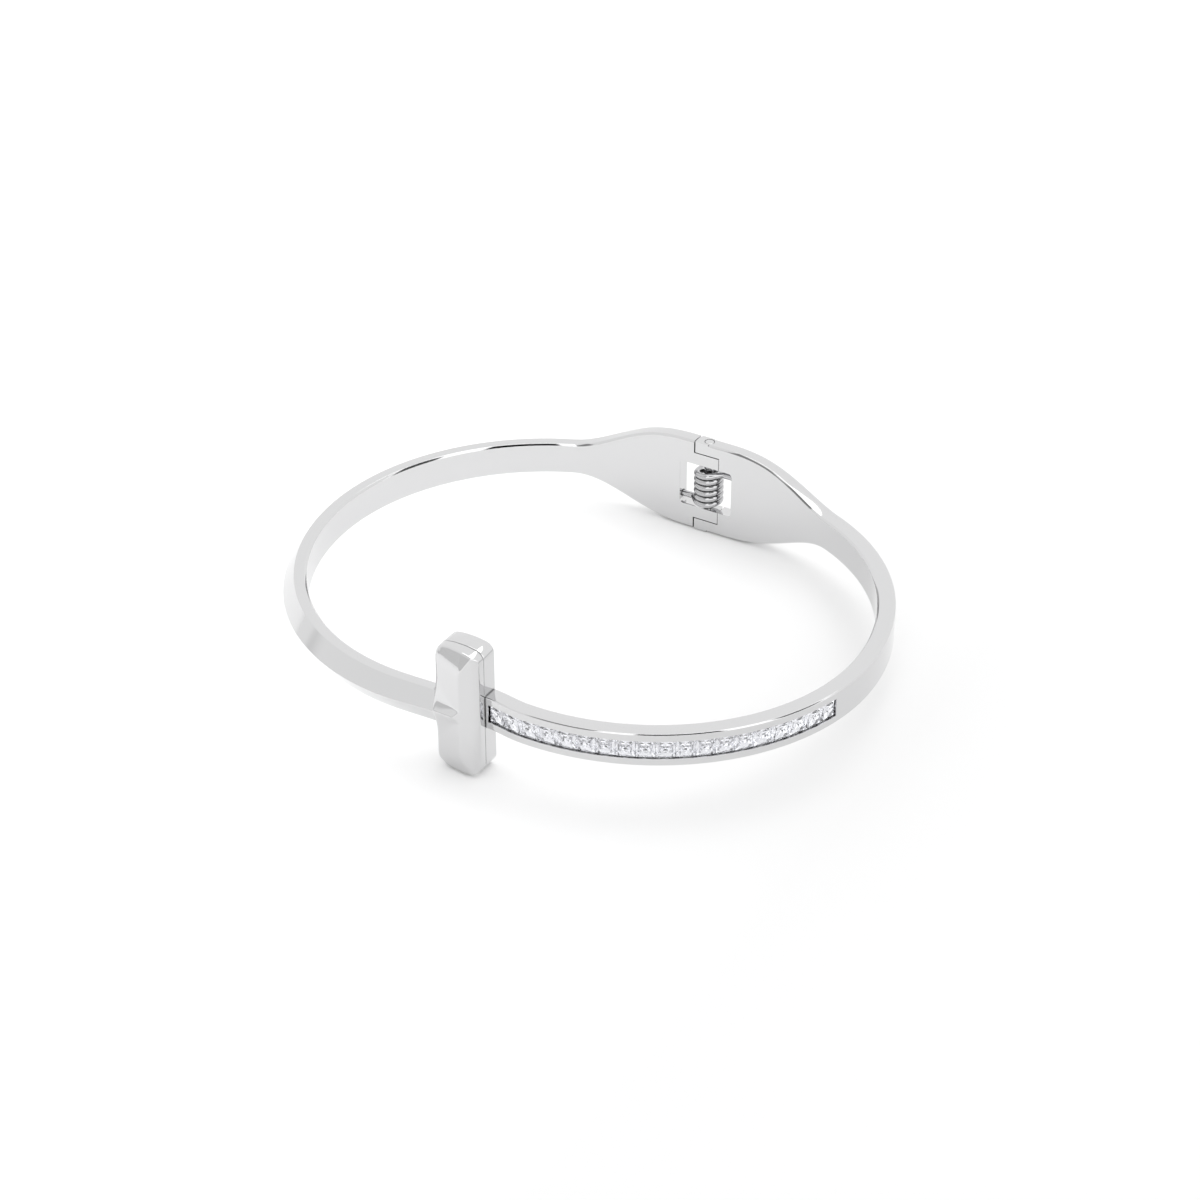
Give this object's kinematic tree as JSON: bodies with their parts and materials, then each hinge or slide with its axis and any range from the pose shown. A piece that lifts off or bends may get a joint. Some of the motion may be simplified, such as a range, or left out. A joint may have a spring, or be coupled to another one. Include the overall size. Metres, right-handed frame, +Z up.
{
  "type": "hinged bangle bracelet",
  "caption": "Oval polished steel bangle: a knife-edged arm and an arm with channel-set square stones, joined by a sprung back hinge and an upright front crossbar.",
  "frame": {"origin": "middle of the closed bangle's bounding box, near the centre of the wrist opening", "axes": "+X along the oval's long axis, towards the arm with the stones; +Y to the hinge, -Y to the crossbar; +Z up along the hinge pin, the axis that the wrist passes along"},
  "size_m": [0.0626, 0.0516, 0.014],
  "materials": {
    "polished_steel": "mirror-polished stainless steel",
    "spring_steel": "drawn stainless spring wire",
    "clear_stone": "faceted clear crystal"
  },
  "bodies": {
    "stone_half": {"right_arm": "polished_steel", "back_bar_plate": "polished_steel", "hinge_pin": "polished_steel", "torsion_spring": "spring_steel", "stone_01": "clear_stone", "stone_02": "clear_stone", "stone_03": "clear_stone", "stone_04": "clear_stone", "stone_05": "clear_stone", "stone_06": "clear_stone", "stone_07": "clear_stone", "stone_08": "clear_stone", "stone_09": "clear_stone", "stone_10": "clear_stone", "stone_11": "clear_stone", "stone_12": "clear_stone", "stone_13": "clear_stone", "stone_14": "clear_stone", "stone_15": "clear_stone", "stone_16": "clear_stone", "stone_17": "clear_stone", "stone_18": "clear_stone", "stone_19": "clear_stone"},
    "knife_edge_half": {"left_arm": "polished_steel", "front_bar_plate": "polished_steel"}
  },
  "joints": [
    {"name": "hinge", "type": "hinge", "parent": "stone_half", "child": "knife_edge_half", "pos_m": [0.0004, 0.02426, 0], "axis": [0, 0, -1], "range_deg": [0, 35], "stiffness_Nm_per_rad": 0.024, "springref_deg": -40.11, "deforming": ["torsion_spring"]}
  ]
}
